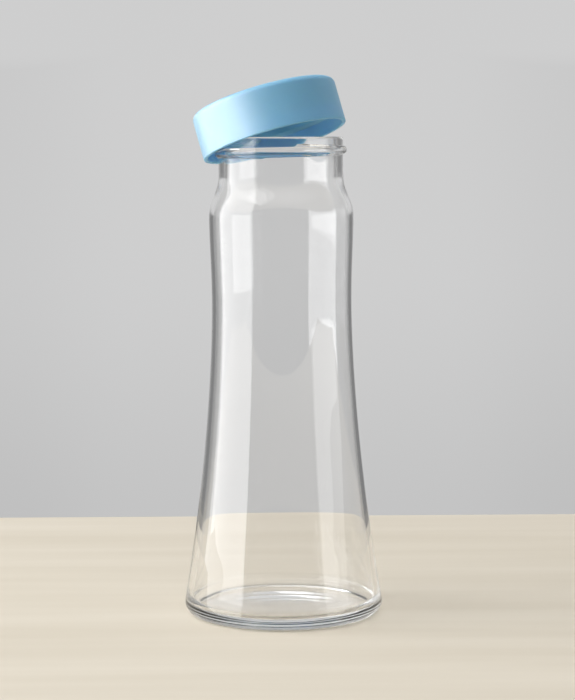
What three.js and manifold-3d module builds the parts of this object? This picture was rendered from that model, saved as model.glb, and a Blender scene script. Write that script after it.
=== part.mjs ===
// Glass water bottle with a wide neck, and its screw cap set down askew on the lip.
//
// Millimetres, +Z up. The bottle stands on z = 0 with its axis on the Z axis.
// Azimuths are degrees anticlockwise from +X, seen from above.
// The cap, its thread ring and its seal are drawn upright round their own axis,
// with the cap's open rim at z = 0, and a tilted group sets them on the bottle.

import * as THREE from 'three';
import { mergeVertices } from 'three/addons/utils/BufferGeometryUtils.js';
import Module from 'manifold-3d';

const wasm = await Module();
wasm.setup();

// ---- Bottle: outer shape ----
const BOTTLE_HEIGHT = 250;
const BASE_RADIUS = 52.1;
const HEEL_RADIUS = 6;
const HEEL_END_ANGLE = 9.6;
const WAIST_RADIUS = 36.68;
const WAIST_HEIGHT = 165;
const FLARE_POWER = 1.74;
const SHOULDER_RADIUS = 37.75;
const SHOULDER_HEIGHT = 208;
const NECK_RADIUS = 32.5;
const NECK_START = 229.5;
const LIP_ROUND = 0.9;

// ---- Bottle: how far its side runs straight on where it leaves each of these places ----
const WAIST_EASE = 17;
const SHOULDER_EASE_BELOW = 12;
const SHOULDER_EASE_ABOVE = 9.5;
const NECK_EASE = 8.5;

// ---- Bottle: underside ----
const PUSH_UP = 1.1;
const PUSH_UP_LEVEL_TO = 14;
const REST_RING_INNER = 38;
const REST_RING_EASE = 16;

// ---- Bottle: walls, and the floor inside ----
const BODY_WALL = 2.3;
const HEEL_WALL = 3.2;
const WALL_THICKENS_BELOW = 115;
const WALL_THICKENS_POWER = 1.3;
const SHOULDER_WALL = 2.5;
const NECK_WALL = 3;
const FLOOR_TOP = 5;
const FLOOR_CROWN = 0.4;
const CROWN_EASE = 14;
const FLOOR_FLAT_RADIUS = 41;
const FLOOR_CORNER_TOP = 11;
const CORNER_EASE_OUT = 0.5;
const CORNER_EASE_DOWN = 4;
const CORNER_EASE_IN = 5;

// ---- Bottle: screw thread, one right-hand turn with its ends at the back ----
const THREAD_PITCH = 4;
const THREAD_RIDGE_RADIUS = 2.2;
const THREAD_CENTRE_RADIUS = 32.2;
const THREAD_ENDS_SUNK_BY = 0.2;
const THREAD_START_AZIMUTH = 100;
const THREAD_SWEEP = 340;
const THREAD_FADE = 22;
const THREAD_MID_HEIGHT = 242.3;
const THREAD_MID_AZIMUTH = 270;

// ---- Cap: shell, thread ring and seal ----
const CAP_RADIUS = 38.2;
const CAP_HEIGHT = 23.9;
const CAP_WALL = 2;
const CAP_TOP = 1.5;
const CAP_TOP_ROUND = 3;
const CAP_RIM_ROUND = 0.45;
const FIT_GAP = 0.3;
const RING_WALL = 1.2;
const RING_BOTTOM = 7.2;
const RING_TAPER = 1.8;
const RING_BLUNT_EDGE = 0.35;
const LUG_RIDGE_RADIUS = 1.3;
const LUG_INNER_RADIUS = 33;
const LUG_COUNT = 3;
const LUG_SWEEP = 46;
const LUG_FADE = 9;
const LUG_FIRST_AZIMUTH = 100;
const LUG_FIRST_HEIGHT = 8.8;
const SEAL_THICKNESS = 1.3;
const SEAL_INNER_RADIUS = 28.6;
const SEAL_CHAMFER = 0.3;

// ---- Cap: where it lies ----
const CAP_POSITION = [-2.87, -0.5, 247.7];
const CAP_TILT = 18.1;
const CAP_LEAN_AZIMUTH = 148.7;

// ---- Fineness ----
const ROUND_SEGMENTS = 48;
const UNDERSIDE_STEPS = 4;
const FLARE_STEPS = 10;
const UPPER_SIDE_STEPS = 7;
const LIP_STEPS = 2;
const FLOOR_STEPS = 5;
const CAP_STEPS = 3;
const THREAD_STEPS = 48;
const LUG_STEPS = 14;
const RIDGE_SECTION_STEPS = 5;
const WELD_DISTANCE = 1e-4;

const radians = THREE.MathUtils.degToRad;

// ---- Sizes that follow from those above ----
const HEEL_TOP = HEEL_RADIUS * (1 + Math.sin(radians(HEEL_END_ANGLE)));
const HEEL_TOP_RADIUS = BASE_RADIUS - HEEL_RADIUS * (1 - Math.cos(radians(HEEL_END_ANGLE)));
const REST_RING_OUTER = BASE_RADIUS - HEEL_RADIUS;
const BORE_RADIUS = NECK_RADIUS - NECK_WALL;
const CAP_BORE = CAP_RADIUS - CAP_WALL;
const CAP_CEILING = CAP_HEIGHT - CAP_TOP;
const RING_OUTER = CAP_BORE - FIT_GAP;
const RING_BORE = RING_OUTER - RING_WALL;

// The flared side of the body: a power curve from the waist down to the heel.
function flareRadius(height) {
  const drop = (WAIST_HEIGHT - height) / (WAIST_HEIGHT - HEEL_TOP);
  return WAIST_RADIUS + (HEEL_TOP_RADIUS - WAIST_RADIUS) * drop ** FLARE_POWER;
}

// The thickness of the flared side, which grows gently towards the heel.
function flareWall(height) {
  const below = Math.max(0, WALL_THICKENS_BELOW - height);
  const down = below / (WALL_THICKENS_BELOW - FLOOR_CORNER_TOP);
  return BODY_WALL + (HEEL_WALL - BODY_WALL) * down ** WALL_THICKENS_POWER;
}

// Points along the flare from one height to another, moved inwards by a wall that is a function of height.
function flarePoints(from, to, wall) {
  const points = [];
  for (let i = 0; i <= FLARE_STEPS; i += 1) {
    const height = THREE.MathUtils.lerp(from, to, i / FLARE_STEPS);
    points.push(new THREE.Vector2(flareRadius(height) - wall(height), height));
  }
  return points;
}

// The side above the waist: out to the shoulder, then in to the straight neck.
function upperSide(waistRadius, shoulderRadius, neckRadius) {
  const path = new THREE.Path();
  path.moveTo(waistRadius, WAIST_HEIGHT);
  path.bezierCurveTo(
    waistRadius, WAIST_HEIGHT + WAIST_EASE,
    shoulderRadius, SHOULDER_HEIGHT - SHOULDER_EASE_BELOW,
    shoulderRadius, SHOULDER_HEIGHT,
  );
  path.bezierCurveTo(
    shoulderRadius, SHOULDER_HEIGHT + SHOULDER_EASE_ABOVE,
    neckRadius, NECK_START - NECK_EASE,
    neckRadius, NECK_START,
  );
  return path.getPoints(UPPER_SIDE_STEPS);
}

// The underside: a shallow push-up, the flat ring the bottle rests on, and the heel.
function bottleUnderside() {
  const path = new THREE.Path();
  path.moveTo(0, PUSH_UP);
  path.bezierCurveTo(
    PUSH_UP_LEVEL_TO, PUSH_UP,
    REST_RING_INNER - REST_RING_EASE, 0,
    REST_RING_INNER, 0,
  );
  path.lineTo(REST_RING_OUTER, 0);
  path.absarc(
    REST_RING_OUTER, HEEL_RADIUS, HEEL_RADIUS,
    radians(-90), radians(HEEL_END_ANGLE), false,
  );
  return path.getPoints(UNDERSIDE_STEPS);
}

// The lip: two small rounds with a flat between them.
function bottleLip() {
  const path = new THREE.Path();
  path.absarc(
    NECK_RADIUS - LIP_ROUND, BOTTLE_HEIGHT - LIP_ROUND, LIP_ROUND,
    0, radians(90), false,
  );
  path.absarc(
    BORE_RADIUS + LIP_ROUND, BOTTLE_HEIGHT - LIP_ROUND, LIP_ROUND,
    radians(90), radians(180), false,
  );
  return path.getPoints(LIP_STEPS);
}

// The inside of the foot: a rounded corner down from the wall, then a slightly crowned floor.
function bottleFloor() {
  const cornerRadius = flareRadius(FLOOR_CORNER_TOP) - HEEL_WALL;
  const edgeHeight = FLOOR_TOP - FLOOR_CROWN;
  const path = new THREE.Path();
  path.moveTo(cornerRadius, FLOOR_CORNER_TOP);
  path.bezierCurveTo(
    cornerRadius + CORNER_EASE_OUT, FLOOR_CORNER_TOP - CORNER_EASE_DOWN,
    FLOOR_FLAT_RADIUS + CORNER_EASE_IN, edgeHeight,
    FLOOR_FLAT_RADIUS, edgeHeight,
  );
  path.bezierCurveTo(
    FLOOR_FLAT_RADIUS - CROWN_EASE, edgeHeight,
    CROWN_EASE, FLOOR_TOP,
    0, FLOOR_TOP,
  );
  return path.getPoints(FLOOR_STEPS);
}

// A closed body of revolution about Z, from a profile of (radius, height) points.
function revolve(profile) {
  const points = profile.filter(
    (point, i) => i === 0 || point.distanceTo(profile[i - 1]) > WELD_DISTANCE,
  );
  return new THREE.LatheGeometry(points, ROUND_SEGMENTS).rotateX(Math.PI / 2);
}

// A screw ridge about Z that rises as its azimuth grows and sinks into the wall at its ends.
class ScrewRidge extends THREE.Curve {
  constructor(radius, sunkRadius, startAzimuth, sweep, fade, startHeight) {
    super();
    Object.assign(this, { radius, sunkRadius, startAzimuth, sweep, fade, startHeight });
  }

  getPoint(t, target = new THREE.Vector3()) {
    const turned = t * this.sweep;
    const fromEnd = Math.min(turned, this.sweep - turned) / this.fade;
    const shown = THREE.MathUtils.smoothstep(fromEnd, 0, 1);
    const radius = THREE.MathUtils.lerp(this.sunkRadius, this.radius, shown);
    const azimuth = radians(this.startAzimuth + turned);
    const height = this.startHeight + (THREAD_PITCH * turned) / 360;
    return target.set(radius * Math.cos(azimuth), radius * Math.sin(azimuth), height);
  }
}

// A closed geometry as a solid that can be cut and joined.
function solid(geometry) {
  const bare = geometry.clone();
  bare.deleteAttribute('normal');
  bare.deleteAttribute('uv');
  const welded = mergeVertices(bare, WELD_DISTANCE);
  return new wasm.Manifold(new wasm.Mesh({
    numProp: 3,
    vertProperties: new Float32Array(welded.attributes.position.array),
    triVerts: new Uint32Array(welded.index.array),
  }));
}

// A round bar along a curve.
function roundBar(curve, barRadius, steps) {
  const section = new THREE.Shape();
  section.absarc(0, 0, barRadius, 0, 2 * Math.PI, false);
  return solid(new THREE.ExtrudeGeometry(section, {
    steps,
    curveSegments: RIDGE_SECTION_STEPS,
    bevelEnabled: false,
    extrudePath: curve,
  }));
}

// A plain cylinder about Z between two heights.
function cylinder(radius, bottom, top) {
  const upright = new THREE.CylinderGeometry(radius, radius, top - bottom, ROUND_SEGMENTS);
  return solid(upright.rotateX(Math.PI / 2).translate(0, 0, (bottom + top) / 2));
}

// A solid back as a geometry.
function geometryOf(body) {
  const mesh = body.getMesh();
  const geometry = new THREE.BufferGeometry();
  geometry.setAttribute('position', new THREE.BufferAttribute(mesh.vertProperties, 3));
  geometry.setIndex(new THREE.BufferAttribute(mesh.triVerts, 1));
  geometry.computeVertexNormals();
  return geometry;
}

function named(name, geometry, material) {
  const mesh = new THREE.Mesh(geometry, material);
  mesh.name = name;
  return mesh;
}

// The bottle: one blown glass body, open at the mouth, with its thread ridge moulded on.
function makeBottle(material) {
  const blown = solid(revolve([
    ...bottleUnderside(),
    ...flarePoints(HEEL_TOP, WAIST_HEIGHT, () => 0),
    ...upperSide(WAIST_RADIUS, SHOULDER_RADIUS, NECK_RADIUS),
    ...bottleLip(),
    ...upperSide(
      WAIST_RADIUS - BODY_WALL,
      SHOULDER_RADIUS - SHOULDER_WALL,
      BORE_RADIUS,
    ).reverse(),
    ...flarePoints(WAIST_HEIGHT, FLOOR_CORNER_TOP, flareWall),
    ...bottleFloor(),
  ]));
  const climbToMiddle = (THREAD_PITCH * (THREAD_MID_AZIMUTH - THREAD_START_AZIMUTH)) / 360;
  const ridge = new ScrewRidge(
    THREAD_CENTRE_RADIUS,
    NECK_RADIUS - THREAD_RIDGE_RADIUS - THREAD_ENDS_SUNK_BY,
    THREAD_START_AZIMUTH,
    THREAD_SWEEP,
    THREAD_FADE,
    THREAD_MID_HEIGHT - climbToMiddle,
  );
  const thread = roundBar(ridge, THREAD_RIDGE_RADIUS, THREAD_STEPS)
    .subtract(cylinder(BORE_RADIUS, NECK_START, BOTTLE_HEIGHT));
  return named('glass_bottle', geometryOf(blown.add(thread)), material);
}

// The cap's smooth outer shell: a flat top with a rounded edge, and a deep plain skirt.
function makeCapShell(material) {
  const path = new THREE.Path();
  path.moveTo(0, CAP_CEILING);
  path.lineTo(CAP_BORE, CAP_CEILING);
  path.lineTo(CAP_BORE, CAP_RIM_ROUND);
  path.absarc(
    CAP_BORE + CAP_RIM_ROUND, CAP_RIM_ROUND, CAP_RIM_ROUND,
    radians(180), radians(270), false,
  );
  path.absarc(
    CAP_RADIUS - CAP_RIM_ROUND, CAP_RIM_ROUND, CAP_RIM_ROUND,
    radians(270), radians(360), false,
  );
  path.absarc(
    CAP_RADIUS - CAP_TOP_ROUND, CAP_HEIGHT - CAP_TOP_ROUND, CAP_TOP_ROUND,
    0, radians(90), false,
  );
  path.lineTo(0, CAP_HEIGHT);
  return named('cap_shell', revolve(path.getPoints(CAP_STEPS)), material);
}

// The ring inside the skirt that carries the cap's thread as separate lugs.
function makeThreadRing(material) {
  const top = CAP_CEILING - FIT_GAP;
  const rootRadius = RING_BORE + RING_WALL / 2;
  const root = cylinder(rootRadius, 0, CAP_HEIGHT);
  let ring = solid(revolve([
    new THREE.Vector2(RING_OUTER, RING_BOTTOM),
    new THREE.Vector2(RING_OUTER, top),
    new THREE.Vector2(RING_BORE, top),
    new THREE.Vector2(RING_BORE, RING_BOTTOM + RING_TAPER),
    new THREE.Vector2(RING_OUTER - RING_BLUNT_EDGE, RING_BOTTOM),
    new THREE.Vector2(RING_OUTER, RING_BOTTOM),
  ]));
  for (let i = 0; i < LUG_COUNT; i += 1) {
    const turned = (360 * i) / LUG_COUNT;
    const lug = new ScrewRidge(
      LUG_INNER_RADIUS + LUG_RIDGE_RADIUS,
      rootRadius,
      LUG_FIRST_AZIMUTH + turned,
      LUG_SWEEP,
      LUG_FADE,
      LUG_FIRST_HEIGHT + (THREAD_PITCH * turned) / 360,
    );
    ring = ring.add(roundBar(lug, LUG_RIDGE_RADIUS, LUG_STEPS).intersect(root));
  }
  return named('cap_thread_ring', geometryOf(ring), material);
}

// The soft flat ring between the cap's ceiling and the bottle's lip.
function makeSeal(material) {
  const outer = RING_BORE - FIT_GAP;
  const top = CAP_CEILING - FIT_GAP;
  const bottom = top - SEAL_THICKNESS;
  return named('cap_seal', revolve([
    new THREE.Vector2(SEAL_INNER_RADIUS + SEAL_CHAMFER, bottom),
    new THREE.Vector2(outer - SEAL_CHAMFER, bottom),
    new THREE.Vector2(outer, bottom + SEAL_CHAMFER),
    new THREE.Vector2(outer, top),
    new THREE.Vector2(SEAL_INNER_RADIUS, top),
    new THREE.Vector2(SEAL_INNER_RADIUS, bottom + SEAL_CHAMFER),
    new THREE.Vector2(SEAL_INNER_RADIUS + SEAL_CHAMFER, bottom),
  ]), material);
}

const clearGlass = new THREE.MeshStandardMaterial({
  color: 0xe9eeee, roughness: 0.03, metalness: 0, transparent: true, opacity: 0.35,
});
const bluePlastic = new THREE.MeshStandardMaterial({ color: 0x8cc4df, roughness: 0.55, metalness: 0 });
const blueRing = new THREE.MeshStandardMaterial({ color: 0x7fb8d6, roughness: 0.5, metalness: 0 });
const whiteSilicone = new THREE.MeshStandardMaterial({ color: 0xe8ecec, roughness: 0.7, metalness: 0 });

const cap = new THREE.Group();
cap.add(makeCapShell(bluePlastic), makeThreadRing(blueRing), makeSeal(whiteSilicone));
const lean = radians(CAP_LEAN_AZIMUTH);
cap.quaternion.setFromAxisAngle(
  new THREE.Vector3(-Math.sin(lean), Math.cos(lean), 0),
  radians(CAP_TILT),
);
cap.position.set(...CAP_POSITION);

const waterBottle = new THREE.Group();
waterBottle.add(makeBottle(clearGlass), cap);

export default waterBottle;
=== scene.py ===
"""A clear glass water bottle with its pale blue screw cap lying askew on the lip.

Metres, in the row frame: the bottle stands on z = 0 with its axis on the Z axis, and +Y is the far side.
The glass, the cap's shell, its thread ring and its seal are fine meshes of revolution that
stand for the CAD nodes of the same names. Profiles are (radius, height) points in millimetres.
"""
import math

import bpy
from mathutils import Matrix, Vector


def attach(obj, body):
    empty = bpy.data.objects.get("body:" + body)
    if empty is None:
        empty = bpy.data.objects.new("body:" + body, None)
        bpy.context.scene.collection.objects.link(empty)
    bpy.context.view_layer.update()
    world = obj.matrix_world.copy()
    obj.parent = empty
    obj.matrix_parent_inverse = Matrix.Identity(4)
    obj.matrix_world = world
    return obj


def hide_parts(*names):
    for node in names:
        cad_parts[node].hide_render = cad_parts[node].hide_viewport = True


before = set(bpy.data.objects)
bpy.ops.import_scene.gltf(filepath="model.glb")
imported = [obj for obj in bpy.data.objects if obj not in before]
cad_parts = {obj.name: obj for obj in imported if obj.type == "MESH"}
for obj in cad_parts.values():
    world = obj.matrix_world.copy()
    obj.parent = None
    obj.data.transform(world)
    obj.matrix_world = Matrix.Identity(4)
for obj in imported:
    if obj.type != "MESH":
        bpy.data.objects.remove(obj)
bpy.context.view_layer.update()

MM = 0.001
TAU = 2 * math.pi

# ---- Camera: a long lens at the height of the lip, looking slightly down ----
CAMERA_DISTANCE = 1.120
CAMERA_HEIGHT = 0.2498
CAMERA_SIDE = 0.0029
CAMERA_DOWN = math.radians(5.66)
CAMERA_ROLL = math.radians(-0.36)
CAMERA_LENS = 110.4
CAMERA_SENSOR = 36.0

# ---- Bottle, in millimetres, as the CAD solid has it ----
BASE_RADIUS = 52.09
HEEL_RADIUS = 6.0
HEEL_END = math.radians(9.6)
HEEL_TOP = HEEL_RADIUS * (1 + math.sin(HEEL_END))
HEEL_TOP_RADIUS = BASE_RADIUS - HEEL_RADIUS * (1 - math.cos(HEEL_END))
WAIST_RADIUS = 36.68
WAIST_HEIGHT = 165.0
FLARE_POWER = 1.74
WAIST_EASE = 17
SHOULDER_RADIUS = 37.75
SHOULDER_HEIGHT = 208.0
SHOULDER_EASE_BELOW = 12
SHOULDER_EASE_ABOVE = 9.5
NECK_RADIUS = 32.5
NECK_START = 229.5
NECK_EASE = 8.5
BOTTLE_HEIGHT = 250.0
LIP_ROUND = 0.9
PUSH_UP = 1.1
REST_RING_INNER = 38.0
PUSH_UP_LEVEL_TO = 14.0
REST_RING_EASE = 16.0
BODY_WALL = 2.3
HEEL_WALL = 3.2
WALL_THICKENS_BELOW = 115.0
WALL_THICKENS_POWER = 1.3
SHOULDER_WALL = 2.5
NECK_WALL = 3.0
FLOOR_TOP = 5.0
FLOOR_CROWN = 0.4
CROWN_EASE = 14.0
FLOOR_FLAT_RADIUS = 41.0
FLOOR_CORNER_TOP = 11.0
CORNER_EASE_OUT = 0.5
CORNER_EASE_DOWN = 4.0
CORNER_EASE_IN = 5.0
# The blown inside starts to wander between the first two heights, and stops between the last two.
WANDER_STARTS = (14, 40)
WANDER_STOPS = (214, 238)

# ---- Thread ridge on the neck ----
THREAD_PITCH = 4.0
THREAD_PROUD = 1.9
THREAD_HALF_HEIGHT = 2.3
THREAD_START = math.radians(100)
THREAD_SWEEP = math.radians(340)
THREAD_FADE = math.radians(22)
THREAD_MID_HEIGHT = 242.3
THREAD_ZONE = (235.5, 248.7)
RIDGE_ROUNDNESS = 2.3
RIDGE_FLANKS = 0.8

# ---- Cap, drawn upright with its open rim at height 0 ----
CAP_RADIUS = 38.19
CAP_HEIGHT = 23.89
CAP_WALL = 2.0
CAP_TOP = 1.5
CAP_TOP_ROUND = 3.0
CAP_INNER_ROUND = 0.8
CAP_RIM_ROUND = 0.45
FIT_GAP = 0.3
RING_WALL = 1.2
RING_BOTTOM = 7.2
RING_TAPER = 1.8
RING_EDGE = 0.2
RING_FOOT_WIDTH = 0.35
RING_PLAIN_TOP = 1.0
LUG_INNER_RADIUS = 33.0
LUG_HALF_HEIGHT = 1.4
LUG_COUNT = 3
LUG_SWEEP = math.radians(46)
LUG_FADE = math.radians(9)
LUG_FIRST = math.radians(100)
LUG_FIRST_HEIGHT = 8.8
SEAL_THICKNESS = 1.3
SEAL_INNER_RADIUS = 28.6
SEAL_EDGE = 0.3
CAP_POSITION = Vector((-2.87, -0.5, 247.7)) * MM
CAP_TILT = math.radians(18.1)
CAP_LEAN = math.radians(148.7)

# ---- Studio ----
TABLE_BACK = 0.288
TABLE_FRONT = -0.45
TABLE_HALF_WIDTH = 1.1
TABLE_THICKNESS = 0.035
TABLE_GAP = 0.0001
TABLE_BEVEL = 0.002
TABLE_DARK = (0.600, 0.543, 0.446)
TABLE_LIGHT = (0.665, 0.611, 0.516)

# Brightness of the walls by degrees turned away from straight behind the bottle.
WALL_LEVELS = (
    (0, 0.625), (4, 0.62), (8, 0.59), (13, 0.59), (18, 0.21),
    (33, 0.21), (50, 0.40), (80, 0.24), (110, 0.10), (180, 0.10),
)
CEILING_LEVEL = 0.75
UPPER_LEVEL = 0.62
# Watts per square metre of a lamp that looks as bright as a surface of radiance 1.
AREA_WATTS = math.pi
LIGHT_BOUNCES = 32
DIFFUSE_BOUNCES = 8

# ---- Materials ----
GLASS_IOR = 1.52
GLASS_TINT = (0.86, 0.885, 0.88)
GLASS_TINT_DENSITY = 5.0
BLUE = (0.215, 0.53, 0.80)
PLASTIC_IOR = 1.5
SILICONE_DARK = (0.74, 0.77, 0.77)
SILICONE_LIGHT = (0.84, 0.86, 0.86)

GLASS_SEGMENTS = 256
CAP_SEGMENTS = 224


# ---------------------------------------------------------------- camera
def make_camera():
    data = bpy.data.cameras.new("camera")
    data.lens = CAMERA_LENS
    data.sensor_width = CAMERA_SENSOR
    data.clip_end = 50.0
    camera = bpy.data.objects.new("camera", data)
    place = Matrix.Translation((CAMERA_SIDE, -CAMERA_DISTANCE, CAMERA_HEIGHT))
    tilt = Matrix.Rotation(math.pi / 2 - CAMERA_DOWN, 4, "X")
    roll = Matrix.Rotation(CAMERA_ROLL, 4, "Z")
    camera.matrix_world = place @ tilt @ roll
    bpy.context.scene.collection.objects.link(camera)
    bpy.context.scene.camera = camera


make_camera()


# ---------------------------------------------------------------- outlines
def line(a, b, steps):
    return [(a[0] + (b[0] - a[0]) * i / steps, a[1] + (b[1] - a[1]) * i / steps) for i in range(steps + 1)]


def arc(centre, radius, start, end, steps):
    """Points round a centre from one angle to another, in degrees."""
    points = []
    for i in range(steps + 1):
        angle = math.radians(start + (end - start) * i / steps)
        points.append((centre[0] + radius * math.cos(angle), centre[1] + radius * math.sin(angle)))
    return points


def bezier(p0, p1, p2, p3, steps):
    points = []
    for i in range(steps + 1):
        t = i / steps
        weights = ((1 - t) ** 3, 3 * t * (1 - t) ** 2, 3 * t * t * (1 - t), t ** 3)
        points.append(tuple(sum(w * p[k] for w, p in zip(weights, (p0, p1, p2, p3))) for k in (0, 1)))
    return points


def joined(*stretches):
    """Stretches end to end, without the points they share."""
    points = []
    for stretch in stretches:
        for p in stretch:
            if not points or math.dist(p, points[-1]) > 1e-6:
                points.append(p)
    return points


def smoothstep(value, low, high):
    t = min(1.0, max(0.0, (value - low) / (high - low)))
    return t * t * (3 - 2 * t)


# ---------------------------------------------------------------- meshes of revolution
def revolve(name, profile, segments, moved=None, closed=False):
    """A closed mesh of revolution about Z, from (radius, height) points in millimetres.

    moved(row, radius, height, azimuth) gives back the radius and height to use there.
    A closed profile comes back to its first point; an open one starts and ends on the axis.
    """
    vertices = []
    rows = []
    for k, (radius, height) in enumerate(profile):
        if radius < 1e-6:
            rows.append([len(vertices)])
            vertices.append((0.0, 0.0, height * MM))
            continue
        row = []
        for s in range(segments):
            azimuth = TAU * s / segments
            r, h = moved(k, radius, height, azimuth) if moved else (radius, height)
            row.append(len(vertices))
            vertices.append((r * MM * math.cos(azimuth), r * MM * math.sin(azimuth), h * MM))
        rows.append(row)
    faces = []
    pairs = list(zip(rows, rows[1:] + ([rows[0]] if closed else [])))
    for lower, upper in pairs:
        for s in range(segments):
            n = (s + 1) % segments
            if len(lower) == 1:
                faces.append((lower[0], upper[n], upper[s]))
            elif len(upper) == 1:
                faces.append((lower[s], lower[n], upper[0]))
            else:
                faces.append((lower[s], lower[n], upper[n], upper[s]))
    mesh = bpy.data.meshes.new(name)
    mesh.from_pydata(vertices, [], faces)
    mesh.validate()
    mesh.polygons.foreach_set("use_smooth", [True] * len(mesh.polygons))
    mesh.update()
    piece = bpy.data.objects.new(name, mesh)
    bpy.context.scene.collection.objects.link(piece)
    return piece


# ---------------------------------------------------------------- glass bottle
def flare_radius(height):
    drop = (WAIST_HEIGHT - height) / (WAIST_HEIGHT - HEEL_TOP)
    return WAIST_RADIUS + (HEEL_TOP_RADIUS - WAIST_RADIUS) * drop ** FLARE_POWER


def wall_below(height):
    """The wall of the flare, which thickens gently towards the heel."""
    down = max(0.0, WALL_THICKENS_BELOW - height) / (WALL_THICKENS_BELOW - FLOOR_CORNER_TOP)
    return BODY_WALL + (HEEL_WALL - BODY_WALL) * down ** WALL_THICKENS_POWER


def flare(start, end, inset, steps):
    """The flare from one height to another, moved in by inset(height)."""
    heights = [start + (end - start) * i / steps for i in range(steps + 1)]
    return [(flare_radius(h) - inset(h), h) for h in heights]


def upper_side(waist, shoulder, neck, steps):
    """From the waist out to the shoulder, and in to the start of the straight neck."""
    return joined(
        bezier(
            (waist, WAIST_HEIGHT), (waist, WAIST_HEIGHT + WAIST_EASE),
            (shoulder, SHOULDER_HEIGHT - SHOULDER_EASE_BELOW), (shoulder, SHOULDER_HEIGHT), steps,
        ),
        bezier(
            (shoulder, SHOULDER_HEIGHT), (shoulder, SHOULDER_HEIGHT + SHOULDER_EASE_ABOVE),
            (neck, NECK_START - NECK_EASE), (neck, NECK_START), steps,
        ),
    )


def thread_shift(azimuth):
    """How far the thread's centre stands above its middle height, and how much of the ridge shows."""
    turned = (azimuth - THREAD_START) % TAU
    if turned > THREAD_SWEEP:
        back = (turned - THREAD_SWEEP) / (TAU - THREAD_SWEEP)
        return THREAD_PITCH * THREAD_SWEEP / TAU * (0.5 - smoothstep(back, 0, 1)), 0.0
    rise = THREAD_PITCH * (turned - THREAD_SWEEP / 2) / TAU
    shown = smoothstep(min(turned, THREAD_SWEEP - turned), 0, THREAD_FADE)
    return rise, shown


def ridge_height(offset, half_height, proud):
    """The section of a thread ridge: a round top with soft flanks."""
    u = abs(offset) / half_height
    if u >= 1:
        return 0.0
    return proud * (1 - u ** RIDGE_ROUNDNESS) ** RIDGE_FLANKS


def make_bottle():
    bore = NECK_RADIUS - NECK_WALL
    low, high = THREAD_ZONE
    corner = flare_radius(FLOOR_CORNER_TOP) - HEEL_WALL
    floor_edge = FLOOR_TOP - FLOOR_CROWN
    underside = joined(
        bezier(
            (0, PUSH_UP), (PUSH_UP_LEVEL_TO, PUSH_UP),
            (REST_RING_INNER - REST_RING_EASE, 0), (REST_RING_INNER, 0), 26,
        ),
        line((REST_RING_INNER, 0), (BASE_RADIUS - HEEL_RADIUS, 0), 3),
        arc((BASE_RADIUS - HEEL_RADIUS, HEEL_RADIUS), HEEL_RADIUS, -90, math.degrees(HEEL_END), 18),
    )
    outside = joined(
        underside,
        flare(HEEL_TOP, WAIST_HEIGHT, lambda height: 0, 60),
        upper_side(WAIST_RADIUS, SHOULDER_RADIUS, NECK_RADIUS, 26),
        line((NECK_RADIUS, NECK_START), (NECK_RADIUS, low), 4),
        line((NECK_RADIUS, low), (NECK_RADIUS, high), 52),
        arc((NECK_RADIUS - LIP_ROUND, BOTTLE_HEIGHT - LIP_ROUND), LIP_ROUND, 0, 90, 7),
    )
    inside = joined(
        arc((bore + LIP_ROUND, BOTTLE_HEIGHT - LIP_ROUND), LIP_ROUND, 90, 180, 7),
        line((bore, BOTTLE_HEIGHT - LIP_ROUND), (bore, NECK_START), 8),
        upper_side(WAIST_RADIUS - BODY_WALL, SHOULDER_RADIUS - SHOULDER_WALL, bore, 26)[::-1],
        flare(WAIST_HEIGHT, FLOOR_CORNER_TOP, wall_below, 60),
        bezier(
            (corner, FLOOR_CORNER_TOP), (corner + CORNER_EASE_OUT, FLOOR_CORNER_TOP - CORNER_EASE_DOWN),
            (FLOOR_FLAT_RADIUS + CORNER_EASE_IN, floor_edge), (FLOOR_FLAT_RADIUS, floor_edge), 18,
        ),
        bezier(
            (FLOOR_FLAT_RADIUS, floor_edge), (FLOOR_FLAT_RADIUS - CROWN_EASE, floor_edge),
            (CROWN_EASE, FLOOR_TOP), (0, FLOOR_TOP), 14,
        ),
    )
    outside_rows = len(outside)

    def moved(row, radius, height, azimuth):
        if row < outside_rows:
            if low < height < high:
                rise, shown = thread_shift(azimuth)
                carried = math.sin(math.pi * (height - low) / (high - low))
                proud = ridge_height(height - THREAD_MID_HEIGHT, THREAD_HALF_HEIGHT, THREAD_PROUD)
                return radius + proud * shown, height + rise * carried
            return radius, height
        # The mould shapes the outside only: the blown inside wanders a little.
        body = smoothstep(height, *WANDER_STARTS) * (1 - smoothstep(height, *WANDER_STOPS))
        wander = (
            0.10 * math.sin(2 * azimuth + 0.7 + 0.006 * height)
            + 0.05 * math.sin(3 * azimuth + 2.1 - 0.01 * height)
            + 0.03 * math.sin(5 * azimuth + 0.012 * height)
            + 0.015 * math.sin(0.07 * height + 1.3 * math.sin(azimuth))
        )
        return radius + body * wander, height

    return revolve("bottle_glass", joined(outside, inside), GLASS_SEGMENTS, moved)


# ---------------------------------------------------------------- cap
CAP_PLACE = (
    Matrix.Translation(CAP_POSITION)
    @ Matrix.Rotation(CAP_TILT, 4, Vector((-math.sin(CAP_LEAN), math.cos(CAP_LEAN), 0)))
)


def on_cap(piece):
    """Sets a piece drawn upright at the origin to where the cap lies."""
    piece.data.transform(CAP_PLACE)
    piece.data.update()
    return piece


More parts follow.
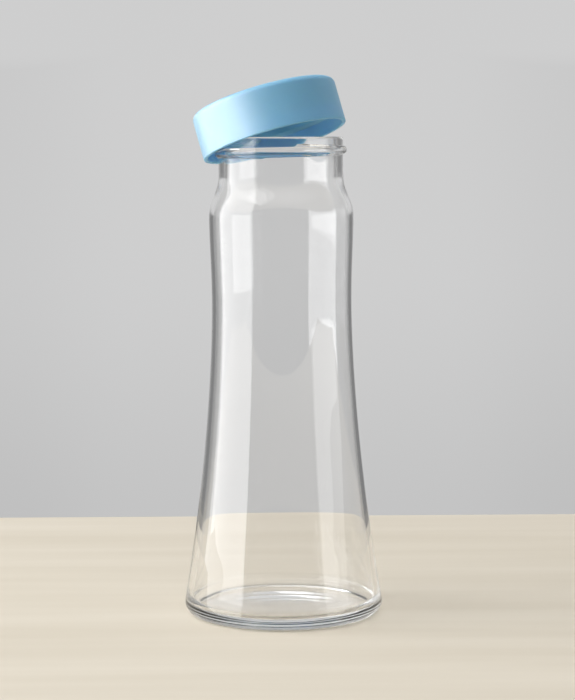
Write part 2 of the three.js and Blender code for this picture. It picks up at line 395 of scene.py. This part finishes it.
def make_shell():
    inner = CAP_RADIUS - CAP_WALL
    ceiling = CAP_HEIGHT - CAP_TOP
    rim = CAP_RIM_ROUND
    inner_round = CAP_INNER_ROUND
    profile = joined(
        line((0, ceiling), (inner - inner_round, ceiling), 10),
        arc((inner - inner_round, ceiling - inner_round), inner_round, 90, 0, 5),
        line((inner, ceiling - inner_round), (inner, rim), 16),
        arc((inner + rim, rim), rim, 180, 270, 6),
        line((inner + rim, 0), (CAP_RADIUS - rim, 0), 3),
        arc((CAP_RADIUS - rim, rim), rim, 270, 360, 6),
        line((CAP_RADIUS, rim), (CAP_RADIUS, CAP_HEIGHT - CAP_TOP_ROUND), 18),
        arc((CAP_RADIUS - CAP_TOP_ROUND, CAP_HEIGHT - CAP_TOP_ROUND), CAP_TOP_ROUND, 0, 90, 14),
        line((CAP_RADIUS - CAP_TOP_ROUND, CAP_HEIGHT), (0, CAP_HEIGHT), 12),
    )
    return on_cap(revolve("cap_outer_shell", profile, CAP_SEGMENTS))


def make_ring():
    outer = CAP_RADIUS - CAP_WALL - FIT_GAP
    inner = outer - RING_WALL
    top = CAP_HEIGHT - CAP_TOP - FIT_GAP
    taper_top = RING_BOTTOM + RING_TAPER
    soft = RING_EDGE
    profile = joined(
        line((outer, RING_BOTTOM + soft), (outer, top - soft), 6),
        arc((outer - soft, top - soft), soft, 0, 90, 3),
        arc((inner + soft, top - soft), soft, 90, 180, 3),
        line((inner, top - soft), (inner, taper_top), 44),
        line((inner, taper_top), (outer - RING_FOOT_WIDTH, RING_BOTTOM), 8),
        arc((outer - soft, RING_BOTTOM + soft), soft, 250, 350, 4),
    )

    def moved(row, radius, height, azimuth):
        if radius > outer - soft or height > top - RING_PLAIN_TOP:
            return radius, height
        proud = 0.0
        for i in range(LUG_COUNT):
            turned = (azimuth - LUG_FIRST - TAU * i / LUG_COUNT) % TAU
            if turned < LUG_SWEEP:
                centre = LUG_FIRST_HEIGHT + THREAD_PITCH * (turned / TAU + i / LUG_COUNT)
                shown = smoothstep(min(turned, LUG_SWEEP - turned), 0, LUG_FADE)
                reach = inner - LUG_INNER_RADIUS
                proud = shown * ridge_height(height - centre, LUG_HALF_HEIGHT, reach)
        return radius - proud, height

    return on_cap(revolve("thread_ring", profile, CAP_SEGMENTS, moved, closed=True))


def make_seal():
    outer = CAP_RADIUS - CAP_WALL - RING_WALL - 2 * FIT_GAP
    top = CAP_HEIGHT - CAP_TOP - FIT_GAP
    bottom = top - SEAL_THICKNESS
    soft = SEAL_EDGE
    profile = joined(
        arc((outer - soft, bottom + soft), soft, 270, 360, 4),
        arc((outer - soft, top - soft), soft, 0, 90, 4),
        arc((SEAL_INNER_RADIUS + soft, top - soft), soft, 90, 180, 4),
        arc((SEAL_INNER_RADIUS + soft, bottom + soft), soft, 180, 270, 4),
        line((SEAL_INNER_RADIUS + soft, bottom), (outer - soft, bottom), 6),
    )[:-1]
    return on_cap(revolve("seal_ring", profile, CAP_SEGMENTS, closed=True))


# ---------------------------------------------------------------- materials
def new_material(name):
    material = bpy.data.materials.new(name)
    material.use_nodes = True
    nodes = material.node_tree.nodes
    return material, nodes, material.node_tree.links, nodes["Principled BSDF"]


def noise(nodes, links, scale, detail=3.0, stretch=(1, 1, 1)):
    """Noise in object space, in features per metre, stretched along an axis."""
    coordinates = nodes.new("ShaderNodeTexCoord")
    mapping = nodes.new("ShaderNodeMapping")
    mapping.inputs["Scale"].default_value = stretch
    texture = nodes.new("ShaderNodeTexNoise")
    texture.inputs["Scale"].default_value = scale
    texture.inputs["Detail"].default_value = detail
    links.new(coordinates.outputs["Object"], mapping.inputs["Vector"])
    links.new(mapping.outputs["Vector"], texture.inputs["Vector"])
    return texture.outputs["Fac"]


def ranged(nodes, links, value, low, high, from_low=0.3, from_high=0.7):
    remap = nodes.new("ShaderNodeMapRange")
    remap.inputs["From Min"].default_value = from_low
    remap.inputs["From Max"].default_value = from_high
    remap.inputs["To Min"].default_value = low
    remap.inputs["To Max"].default_value = high
    links.new(value, remap.inputs["Value"])
    return remap.outputs["Result"]


def tinted(nodes, links, value, shader, low, high):
    """Base colour that drifts from one colour to another with a value."""
    mixed = nodes.new("ShaderNodeMix")
    mixed.data_type = "RGBA"
    mixed.inputs["A"].default_value = (*low, 1)
    mixed.inputs["B"].default_value = (*high, 1)
    links.new(ranged(nodes, links, value, 0, 1), mixed.inputs["Factor"])
    links.new(mixed.outputs["Result"], shader.inputs["Base Color"])


def bumped(nodes, links, height, strength, distance, under=None):
    bump = nodes.new("ShaderNodeBump")
    bump.inputs["Strength"].default_value = strength
    bump.inputs["Distance"].default_value = distance
    links.new(height, bump.inputs["Height"])
    if under is not None:
        links.new(under, bump.inputs["Normal"])
    return bump.outputs["Normal"]


def glass_material():
    material, nodes, links, shader = new_material("clear_glass")
    shader.inputs["Base Color"].default_value = (1, 1, 1, 1)
    shader.inputs["IOR"].default_value = GLASS_IOR
    shader.inputs["Transmission Weight"].default_value = 1.0
    film = noise(nodes, links, 22, 4, (1, 1, 0.35))
    links.new(ranged(nodes, links, film, 0.0, 0.02, 0.5, 0.75), shader.inputs["Roughness"])
    flow = noise(nodes, links, 26, 1.5, (1, 1, 0.12))
    links.new(bumped(nodes, links, flow, 0.08, 0.0005), shader.inputs["Normal"])
    tint = nodes.new("ShaderNodeVolumeAbsorption")
    tint.inputs["Color"].default_value = (*GLASS_TINT, 1)
    tint.inputs["Density"].default_value = GLASS_TINT_DENSITY
    links.new(tint.outputs["Volume"], nodes["Material Output"].inputs["Volume"])
    return material


def plastic_material(name, colour, roughness, cloudiness):
    """Satin moulded plastic: a fine mould grain, and gloss and colour that drift a little."""
    material, nodes, links, shader = new_material(name)
    darker = [c * (1 - cloudiness) for c in colour]
    lighter = [min(1, c * (1 + cloudiness)) for c in colour]
    tinted(nodes, links, noise(nodes, links, 45, 3), shader, darker, lighter)
    links.new(
        ranged(nodes, links, noise(nodes, links, 160, 4), roughness - 0.04, roughness + 0.05),
        shader.inputs["Roughness"],
    )
    grain = noise(nodes, links, 2600, 2)
    wave = noise(nodes, links, 70, 2)
    under = bumped(nodes, links, wave, 0.12, 0.0004)
    links.new(bumped(nodes, links, grain, 0.10, 0.00008, under), shader.inputs["Normal"])
    shader.inputs["IOR"].default_value = PLASTIC_IOR
    shader.inputs["Sheen Weight"].default_value = 0.08
    shader.inputs["Sheen Roughness"].default_value = 0.5
    shader.inputs["Subsurface Weight"].default_value = 0.5
    shader.inputs["Subsurface Scale"].default_value = 0.003
    shader.inputs["Subsurface Radius"].default_value = (0.5, 0.9, 1.3)
    return material


def silicone_material():
    material, nodes, links, shader = new_material("white_silicone")
    tinted(nodes, links, noise(nodes, links, 120, 3), shader, SILICONE_DARK, SILICONE_LIGHT)
    links.new(ranged(nodes, links, noise(nodes, links, 400, 3), 0.5, 0.66), shader.inputs["Roughness"])
    links.new(bumped(nodes, links, noise(nodes, links, 1800, 2), 0.15, 0.00008), shader.inputs["Normal"])
    shader.inputs["Subsurface Weight"].default_value = 0.2
    shader.inputs["Subsurface Radius"].default_value = (0.002, 0.002, 0.002)
    return material


def dress(piece, material, body, replaced):
    piece.data.materials.append(material)
    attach(piece, body)
    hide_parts(replaced)


# ---------------------------------------------------------------- studio
def table_material():
    material, nodes, links, shader = new_material("pale_table")
    grain = noise(nodes, links, 9, 5, (0.25, 3.0, 1))
    tinted(nodes, links, grain, shader, TABLE_DARK, TABLE_LIGHT)
    shader.inputs["Roughness"].default_value = 0.7
    shader.inputs["Specular IOR Level"].default_value = 0.2
    return material


def make_table():
    mesh = bpy.data.meshes.new("table")
    xs = (-TABLE_HALF_WIDTH, TABLE_HALF_WIDTH)
    ys = (TABLE_FRONT, TABLE_BACK)
    zs = (-TABLE_THICKNESS, -TABLE_GAP)
    corners = [(x, y, z) for z in zs for y in ys for x in xs]
    faces = [(0, 2, 3, 1), (4, 5, 7, 6), (0, 1, 5, 4), (2, 6, 7, 3), (0, 4, 6, 2), (1, 3, 7, 5)]
    mesh.from_pydata(corners, [], faces)
    table = bpy.data.objects.new("table", mesh)
    bpy.context.scene.collection.objects.link(table)
    bevel = table.modifiers.new("soft_edge", "BEVEL")
    bevel.width = TABLE_BEVEL
    bevel.segments = 3
    table.data.materials.append(table_material())
    return table


def make_world():
    """Walls by direction: bright behind the bottle, dark beside that, paler at the sides, dark in front.

    The upper walls and the ceiling are bright too.
    """
    world = bpy.data.worlds.new("studio")
    bpy.context.scene.world = world
    world.use_nodes = True
    nodes, links = world.node_tree.nodes, world.node_tree.links
    coordinates = nodes.new("ShaderNodeTexCoord")
    parts = nodes.new("ShaderNodeSeparateXYZ")
    links.new(coordinates.outputs["Generated"], parts.inputs["Vector"])

    def maths(operation, a, b=0.0):
        made = nodes.new("ShaderNodeMath")
        made.operation = operation
        for socket, value in zip(made.inputs, (a, b)):
            if isinstance(value, (int, float)):
                socket.default_value = value
            else:
                links.new(value, socket)
        return made.outputs["Value"]

    def stepped(value, low, high, at_low, at_high):
        remap = nodes.new("ShaderNodeMapRange")
        remap.interpolation_type = "SMOOTHSTEP"
        remap.inputs["From Min"].default_value = low
        remap.inputs["From Max"].default_value = high
        remap.inputs["To Min"].default_value = at_low
        remap.inputs["To Max"].default_value = at_high
        links.new(value, remap.inputs["Value"])
        return remap.outputs["Result"]

    # Turn away from the wall behind the bottle: 0 there, 1 at the camera.
    azimuth = maths("ARCTAN2", parts.outputs["X"], parts.outputs["Y"])
    turn = maths("DIVIDE", maths("ABSOLUTE", azimuth), math.pi)
    ramp = nodes.new("ShaderNodeValToRGB")
    ramp.color_ramp.interpolation = "EASE"
    stops = ramp.color_ramp.elements
    for place, _ in WALL_LEVELS[1:-1]:
        stops.new(place / 180)
    for stop, (_, level) in zip(stops, WALL_LEVELS):
        stop.color = (level, level, level, 1)
    links.new(turn, ramp.inputs["Fac"])
    height = parts.outputs["Z"]
    walls = maths("MULTIPLY", ramp.outputs["Color"], stepped(height, -0.20, -0.05, 0.88, 1.0))
    front_fade = stepped(turn, 0.40, 0.55, 1.0, 0.25)
    high = maths("MULTIPLY", stepped(height, -0.03, 0.04, 0.0, UPPER_LEVEL), front_fade)
    upper = maths("MAXIMUM", walls, high)
    level = maths("MAXIMUM", upper, stepped(height, 0.45, 0.8, 0.0, CEILING_LEVEL))
    background = nodes["Background"]
    background.inputs["Color"].default_value = (0.998, 0.998, 1.0, 1)
    links.new(level, background.inputs["Strength"])


def area_light(name, place, target, size, radiance, colour=(1, 1, 1), on_surfaces=True, only_on=()):
    """A rectangle of light, sized (across, up), given by how bright it looks, and unseen by the camera.

    Without on_surfaces it shows only as a reflection and through glass.
    With only_on it lights only those pieces.
    """
    data = bpy.data.lights.new(name, "AREA")
    data.shape = "RECTANGLE"
    data.size, data.size_y = size
    data.energy = radiance * AREA_WATTS * data.size * data.size_y
    data.color = colour
    light = bpy.data.objects.new(name, data)
    light.location = place
    light.rotation_euler = (Vector(target) - Vector(place)).to_track_quat("-Z", "Y").to_euler()
    if only_on:
        lit = bpy.data.collections.new(name + "_lights")
        for piece in only_on:
            lit.objects.link(piece)
        light.light_linking.receiver_collection = lit
    light.visible_diffuse = on_surfaces
    light.visible_camera = False
    bpy.context.scene.collection.objects.link(light)


# ---------------------------------------------------------------- the object
shell = make_shell()
ring = make_ring()
dress(make_bottle(), glass_material(), "bottle", "glass_bottle")
dress(shell, plastic_material("blue_plastic", BLUE, 0.50, 0.02), "cap", "cap_shell")
dress(ring, plastic_material("blue_ring_plastic", BLUE, 0.52, 0.03), "cap", "cap_thread_ring")
dress(make_seal(), silicone_material(), "seal", "cap_seal")

make_world()
table = make_table()
cap_parts = (shell, ring)
area_light("window_left", (-1.7, -0.335, 0.8), (0, -0.335, 0.8), (2.25, 2.6), 2.75, on_surfaces=False)
area_light("window_right", (1.7, -0.60, 0.28), (0, -0.60, 0.28), (1.6, 0.44), 1.45, on_surfaces=False)
area_light("overhead", (-0.7, -0.4, 1.9), (-0.2, -0.2, 0), (2.0, 2.2), 1.3)
area_light("daylight", (-1.7, -0.335, 0.4), (0, -0.335, 0.4), (2.25, 1.8), 5.8, only_on=(table,))
area_light("cap_key", (-1.3, -0.95, 0.3), (0, 0, 0.26), (0.8, 0.8), 6.8, (1, 0.89, 0.81), only_on=cap_parts)
area_light(
    "cap_softbox", (-0.55, -0.28, 0.42), (0, -0.28, 0.42), (1.36, 0.82), 10.0, (1.0, 0.94, 0.95),
    on_surfaces=False, only_on=cap_parts,
)

scene = bpy.context.scene
scene.view_settings.view_transform = "Standard"
scene.cycles.max_bounces = LIGHT_BOUNCES
scene.cycles.transmission_bounces = LIGHT_BOUNCES
scene.cycles.glossy_bounces = LIGHT_BOUNCES
scene.cycles.diffuse_bounces = DIFFUSE_BOUNCES
# Light that has met a rough surface still goes sharply through the glass.
scene.cycles.blur_glossy = 0.0
